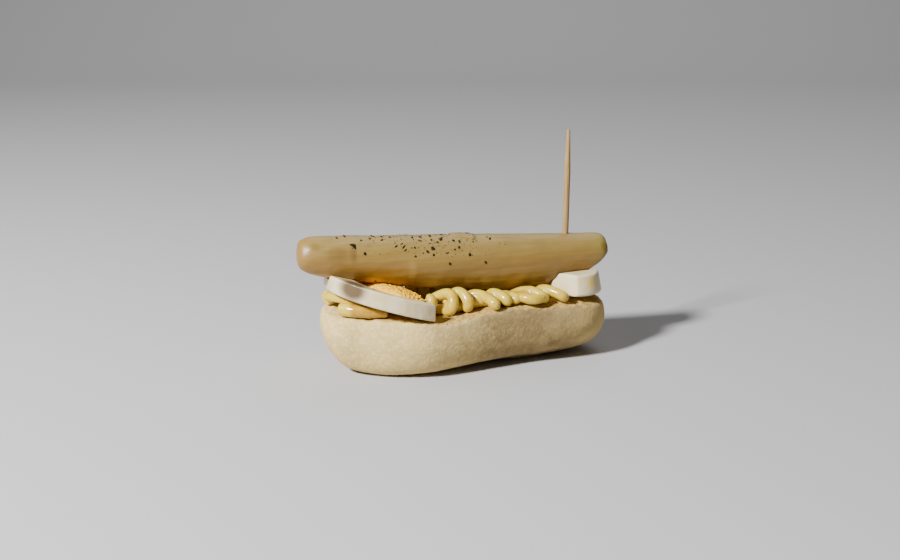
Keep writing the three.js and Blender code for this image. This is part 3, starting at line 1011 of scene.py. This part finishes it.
# Scale leaves: root along the roll, turn from the front over the top, reach, half spread, rise
scaleLeaves = [
    (-35.2, 22.0, 10.0, 42.0, 0.14),
    (2.5, 88.0, 7.5, 30.0, 0.5),
    (-41.0, 100.0, 7.5, 38.0, 0.16),
    (-42.5, -40.0, 6.0, 36.0, 0.14),
    (-44.0, 35.0, 5.0, 34.0, 0.14),
    (-44.0, 165.0, 5.0, 36.0, 0.16),
    (-44.0, 250.0, 5.0, 34.0, 0.14),
    (-29.0, 205.0, 11.0, 42.0, 0.25),
    (18.0, 190.0, 9.0, 36.0, 0.35),
]


def spearAt(x):
    # height of the spear's middle and its radius at a place along the roll
    for (x0, z0, r0), (x1, z1, r1) in zip(spearSections, spearSections[1:]):
        if x <= x1:
            share = max(0, (x - x0) / (x1 - x0))
            return z0 + (z1 - z0) * share, r0 + (r1 - r0) * share
    return spearSections[-1][1], spearSections[-1][2]


def sag(core):
    # the spear hangs down between the two rows, so its lower half is deeper there
    start, full, fullEnd, end = spear["bellyRange"]
    for point in core.data.vertices:
        x = point.co.x / mm
        if start < x < end:
            below = min(0, point.co.z - spearAt(x)[0] * mm)
            point.co.z += below * spear["bellyDepth"] * ease(x, start, full) * (1 - ease(x, fullEnd, end))


def makeCore():
    # a disc drawn out from section to section
    x, z, radius = spearSections[0]
    y = spear["y"]
    bpy.ops.mesh.primitive_circle_add(
        vertices=spear["sides"],
        radius=radius * mm,
        fill_type="NGON",
        location=(x * mm, y * mm, z * mm),
        rotation=(0, math.pi / 2, 0),
    )
    core = renamed("spear")
    settle(core)
    editAll(core)
    for nextX, nextZ, nextRadius in spearSections[1:]:
        step = ((nextX - x) * mm, 0, (nextZ - z) * mm)
        bpy.ops.mesh.extrude_region_move(TRANSFORM_OT_translate={"value": step})
        ratio = nextRadius / radius
        bpy.ops.transform.resize(value=(1, ratio, ratio), center_override=(nextX * mm, y * mm, nextZ * mm))
        x, z, radius = nextX, nextZ, nextRadius
    bpy.ops.mesh.select_all(action="SELECT")
    bpy.ops.mesh.normals_make_consistent(inside=False)
    doneEditing()
    modify(core, "SUBSURF", levels=spear["rounding"], render_levels=spear["rounding"])
    sag(core)
    return core


def makeLeafPattern():
    # a flat leaf of unit size, round at its tip at -X and widest at its root
    count = spear["leafPoints"]
    bpy.ops.mesh.primitive_grid_add(x_subdivisions=count, y_subdivisions=count, size=1)
    leaf = renamed("leaf")
    editAll(leaf)
    bpy.ops.transform.translate(value=(-0.5, 0, 0))
    bpy.ops.transform.resize(value=(1, 2, 1), center_override=(0, 0, 0))
    for step in range(count + 1):
        along = step / count
        selectPoints(leaf, lambda place, normal: abs(place.x + along) < 0.2 / count)
        width = max(spear["leafTip"], math.sqrt(1 - along))
        bpy.ops.transform.resize(value=(1, width, 1), center_override=(0, 0, 0))
    doneEditing()
    return leaf


def layLeaf(pattern, core, root, turn, reach, spread, rise):
    # lays a leaf above the spear and lets it sink onto the skin
    z, radius = spearAt(root - reach / 2)
    leaf = copyOfPattern(pattern)
    width = radius * math.tan(spread * degrees)
    size = Matrix.Diagonal((reach * mm, width * mm, mm, 1))
    lift = Matrix.Translation((root * mm, 0, (radius + spear["leafDrop"]) * mm))
    lean = Matrix.Rotation((90 - turn) * degrees, 4, "X")
    leaf.data.transform(Matrix.Translation((0, spear["y"] * mm, z * mm)) @ lean @ lift @ size)
    modify(leaf, "SUBSURF", levels=1, render_levels=1)
    modify(leaf, "SHRINKWRAP", target=core, wrap_mode="ABOVE_SURFACE", offset=rise * mm)
    modify(leaf, "SOLIDIFY", thickness=spear["leafWall"] * mm, offset=-1.0)
    return leaf


def makeSpear():
    core = makeCore()
    pattern = makeLeafPattern()
    leaves = [layLeaf(pattern, core, *leaf) for leaf in scaleLeaves]
    bpy.data.objects.remove(pattern)
    piece = joinPieces([core, *leaves], "spear")
    # the slanting cut at its thick end
    editAll(piece)
    x, z = spear["bevelPlace"]
    slope = spear["bevelSlope"] * degrees
    bpy.ops.mesh.bisect(
        plane_co=(x * mm, spear["y"] * mm, z * mm),
        plane_no=(-math.sin(slope), 0, math.cos(slope)),
        use_fill=True,
        clear_inner=True,
    )
    doneEditing()
    fuse(piece, spear["voxel"], spear["smoothing"], spear["swell"])
    roughen(piece, "CLOUDS", *spear["dents"], spear["dentStretch"], seed=11)
    roughen(piece, "CLOUDS", *spear["threads"], spear["threadStretch"], seed=12, noise_depth=2)
    present(piece, asparagusFinish, "asparagus", "asparagus")
    return piece


asparagusSpear = makeSpear()
print("the asparagus is laid")


# Grains: patterns, where they land, and how they lie

grains = {
    "count": 6,
    "coarse": 2,
    "fine": 1,
    "ragged": 0.22,
    "evenly": 0.6,
    "outward": 0.4,
    "flat": 0.55,
    "proud": 0.1,
    "dropHeight": 200.0,
    "blownFrom": -100.0,
}


def makePattern(number, fineness):
    # one ragged grain of unit size
    bpy.ops.mesh.primitive_ico_sphere_add(subdivisions=fineness, radius=0.5)
    grain = renamed("grainPattern")
    editAll(grain)
    bpy.ops.transform.vertex_random(
        offset=grains["ragged"], uniform=grains["evenly"], normal=grains["outward"], seed=number
    )
    bpy.ops.transform.resize(value=(1, 1, grains["flat"]), center_override=(0, 0, 0))
    doneEditing()
    return grain


def placeGrain(pattern, place, normal, length, width, lie):
    # a copy of the pattern lying on a surface
    grain = copyOfPattern(pattern)
    upright = Vector(normal).to_track_quat("Z", "X").to_matrix().to_4x4()
    spin = Matrix.Rotation(lie * degrees, 4, "Z")
    height = min(length, width)
    size = Matrix.Diagonal((length * mm, width * mm, height * mm, 1))
    lift = Matrix.Translation(Vector(place) + Vector(normal) * height * grains["proud"] * mm)
    grain.data.transform(lift @ upright @ spin @ size)
    return grain


def onSpear(x, turn):
    # where a grain that fell on the spear lies
    z, radius = spearAt(x)
    outward = Vector((0, -math.cos(turn * degrees), math.sin(turn * degrees)))
    axis = Vector((x * mm, spear["y"] * mm, z * mm))
    _, place, normal, _ = asparagusSpear.ray_cast(axis + outward * 3 * radius * mm, -outward)
    return place, normal


def onTop(piece, x, y):
    # where something dropped on a piece from above lands
    start = Vector((x * mm, y * mm, grains["dropHeight"] * mm))
    found, place, normal, _ = piece.ray_cast(start, Vector((0, 0, -1)))
    return (place, normal) if found else None


def onFront(piece, x, z):
    # where something blown at a piece from the front sticks
    start = Vector((x * mm, grains["blownFrom"] * mm, z * mm))
    found, place, normal, _ = piece.ray_cast(start, Vector((0, 1, 0)))
    return (place, normal) if found else None


# Ground pepper: place along the roll, turn from the front over the top, length, width, lie

coarsePepper = [
    (-35.3, 46, 1.7, 0.9, 70),
    (-34.9, 40, 0.9, 0.7, 20),
    (-32.2, 25, 0.9, 0.7, 0),
    (-36.9, 86, 1.4, 0.6, 0),
    (-39.4, 76, 1.1, 0.5, 10),
    (-32.5, 64, 0.7, 0.6, 0),
    (-29.7, 73, 0.8, 0.6, 30),
    (-28.5, 88, 1.2, 0.7, 0),
    (-26.2, 66, 0.9, 0.6, 120),
    (-25.8, 84, 0.8, 0.6, 0),
    (-23.5, 77, 0.8, 0.6, 40),
    (-22.5, 46, 1.2, 0.4, 130),
    (-20.7, 53, 1.1, 0.3, 125),
    (-20.3, 45, 1.5, 0.4, 130),
    (-20.0, 37, 1.0, 0.35, 130),
    (-16.8, 75, 0.8, 0.6, 0),
    (-17.0, 43, 0.8, 0.6, 0),
    (-17.2, 23, 0.6, 0.5, 0),
    (-14.4, 78, 0.9, 0.7, 20),
    (-14.9, 63, 1.1, 0.7, 60),
    (-11.3, 80, 1.3, 0.7, 0),
    (-11.3, 64, 0.8, 0.6, 0),
    (-11.6, 40, 1.3, 1.0, 20),
    (-13.4, 34, 0.9, 0.6, 40),
    (-11.7, 26, 0.8, 0.6, 0),
    (-12.1, 54, 0.6, 0.4, 90),
    (-9.7, 56, 0.9, 0.5, 30),
    (-8.4, 66, 1.6, 1.0, 140),
    (-7.4, 88, 0.9, 0.6, 0),
    (-7.4, 30, 1.1, 0.35, 110),
    (-7.0, 7, 0.8, 0.6, 40),
    (-4.7, 60, 0.8, 0.7, 0),
    (-2.9, 57, 1.2, 0.5, 0),
    (-3.5, 42, 0.8, 0.6, 0),
    (-4.9, 37, 0.6, 0.5, 0),
    (0.8, 88, 0.8, 0.6, 0),
    (-0.6, 25, 1.0, 0.7, 0),
    (1.4, 56, 0.5, 0.4, 0),
    (4.2, 7, 0.8, 0.6, 20),
    (7.1, 66, 1.3, 0.6, 150),
    (6.4, 72, 0.6, 0.4, 0),
    (-28.7, -52, 0.6, 0.5, 0),
]
finePepper = {
    "count": 380,
    "seed": 5,
    "middle": -11.0,
    "spread": 26.0,
    "turn": 66.0,
    "fan": 44.0,
    "sizes": (0.16, 0.5),
    "slimness": (0.5, 1.0),
}
# Two grains on the slice's rim: their places from above, and their size
slicePepper = {"places": ((-31.6, -12.9), (-17.0, -15.2)), "size": (0.7, 0.6)}


def makePepper(patterns, finePatterns):
    rng = random.Random(finePepper["seed"])
    placed = []
    for number, (x, turn, length, width, lie) in enumerate(coarsePepper):
        pattern = patterns[number % len(patterns)]
        placed.append(placeGrain(pattern, *onSpear(x, turn), length, width, lie))
    for number in range(finePepper["count"]):
        x = finePepper["middle"] + finePepper["spread"] * (rng.random() + rng.random() - 1)
        turn = finePepper["turn"] + finePepper["fan"] * (2 * rng.random() - 1)
        length = between(finePepper["sizes"], rng.random() ** 2)
        width = length * between(finePepper["slimness"], rng.random())
        pattern = finePatterns[number % len(finePatterns)]
        placed.append(placeGrain(pattern, *onSpear(x, turn), length, width, 180 * rng.random()))
    for x, y in slicePepper["places"]:
        placed.append(placeGrain(patterns[0], *onTop(whiteLeft, x, y), *slicePepper["size"], 0))
    present(joinPieces(placed, "pepper"), pepperFinish, "asparagus")


# Crumbs: how many, the seed, the field they lie in and their sizes, all in millimetres

yolkCrumbs = {"count": 240, "seed": 21, "x": (-30.0, -16.0), "y": (-14.0, -1.0), "sizes": (0.35, 0.85)}
rimSpecks = {"count": 70, "seed": 22, "x": (-12.5, 0.5), "y": (-17.2, -12.0), "sizes": (0.15, 0.5)}
rimCrumbs = {"count": 110, "seed": 23, "x": (-13.0, 36.0), "y": (-17.0, -11.0), "sizes": (0.2, 0.55)}
footCrumbs = {"count": 150, "seed": 24, "x": (-34.0, 22.0), "z": (0.25, 1.1), "sizes": (0.25, 0.7)}
crumbs = {"slimness": (0.6, 1.0), "rimFacing": 0.5}


def scatter(field, patterns, find, second, name, finish, slot):
    rng = random.Random(field["seed"])
    placed = []
    for number in range(field["count"]):
        landed = find(between(field["x"], rng.random()), between(field[second], rng.random()))
        length = between(field["sizes"], rng.random() ** 2)
        width = length * between(crumbs["slimness"], rng.random())
        lie = 180 * rng.random()
        if landed:
            placed.append(placeGrain(patterns[number % len(patterns)], *landed, length, width, lie))
    present(joinPieces(placed, name), finish, slot)


def onYolk(x, y):
    return onTop(yolkLeft, x, y)


def onRim(x, y):
    # only on the cut top
    landed = onTop(breadRoll, x, y)
    return landed if landed and landed[1].z > crumbs["rimFacing"] else None


def onFoot(x, z):
    return onFront(breadRoll, x, z)


grainShapes = [makePattern(number, grains["coarse"]) for number in range(grains["count"])]
fineShapes = [makePattern(number, grains["fine"]) for number in range(grains["count"])]
makePepper(grainShapes, fineShapes)
print("the pepper is ground")

scatter(yolkCrumbs, fineShapes, onYolk, "y", "crumbs_yolk", yolkFinish, "egg_yolk")
scatter(rimSpecks, fineShapes, onRim, "y", "crumbs_herb", speckFinish, "bread")
scatter(rimCrumbs, fineShapes, onRim, "y", "crumbs_rim", crumbFinish, "bread")
scatter(footCrumbs, fineShapes, onFoot, "z", "crumbs_foot", crumbFinish, "bread")
print("the crumbs are scattered")

for shape in grainShapes + fineShapes:
    bpy.data.objects.remove(shape)


# The toothpick

toothpick = {
    "x": 32.4,
    "y": 0.8,
    "bottom": 4.3,
    "lean": 0.6,
    "sides": 24,
    "cuts": 2,
    "fibres": (0.5, 0.06),
    "fibreStretch": (1, 1, 24),
    "level": 0.6,
}
# Height above its lower end, and radius
pickSections = [
    (0, 0.35),
    (0.5, 0.5),
    (5, 0.68),
    (13, 1.0),
    (30, 1.0),
    (52, 1.0),
    (60, 0.68),
    (64.4, 0.5),
    (64.98, 0.35),
]


def makeToothpick():
    height, radius = pickSections[0]
    foot = (toothpick["x"] * mm, toothpick["y"] * mm, toothpick["bottom"] * mm)
    bpy.ops.mesh.primitive_circle_add(
        vertices=toothpick["sides"], radius=radius * mm, fill_type="NGON", location=foot
    )
    piece = renamed("pick")
    settle(piece)
    editAll(piece)
    for nextHeight, nextRadius in pickSections[1:]:
        rise = (nextHeight - height) * mm
        bpy.ops.mesh.extrude_region_move(TRANSFORM_OT_translate={"value": (0, 0, rise)})
        ratio = nextRadius / radius
        middle = (foot[0], foot[1], foot[2] + nextHeight * mm)
        bpy.ops.transform.resize(value=(ratio, ratio, 1), center_override=middle)
        height, radius = nextHeight, nextRadius
    bpy.ops.mesh.select_all(action="SELECT")
    bpy.ops.mesh.normals_make_consistent(inside=False)
    # with no window a turn goes the other way
    bpy.ops.transform.rotate(value=-toothpick["lean"] * degrees, orient_axis="Y", center_override=foot)
    bpy.ops.mesh.subdivide(number_cuts=toothpick["cuts"])
    doneEditing()
    stretch = toothpick["fibreStretch"]
    roughen(piece, "CLOUDS", *toothpick["fibres"], stretch, level=toothpick["level"], seed=13)
    present(piece, woodFinish, "wood", "toothpick")


makeToothpick()
print("the toothpick is in")
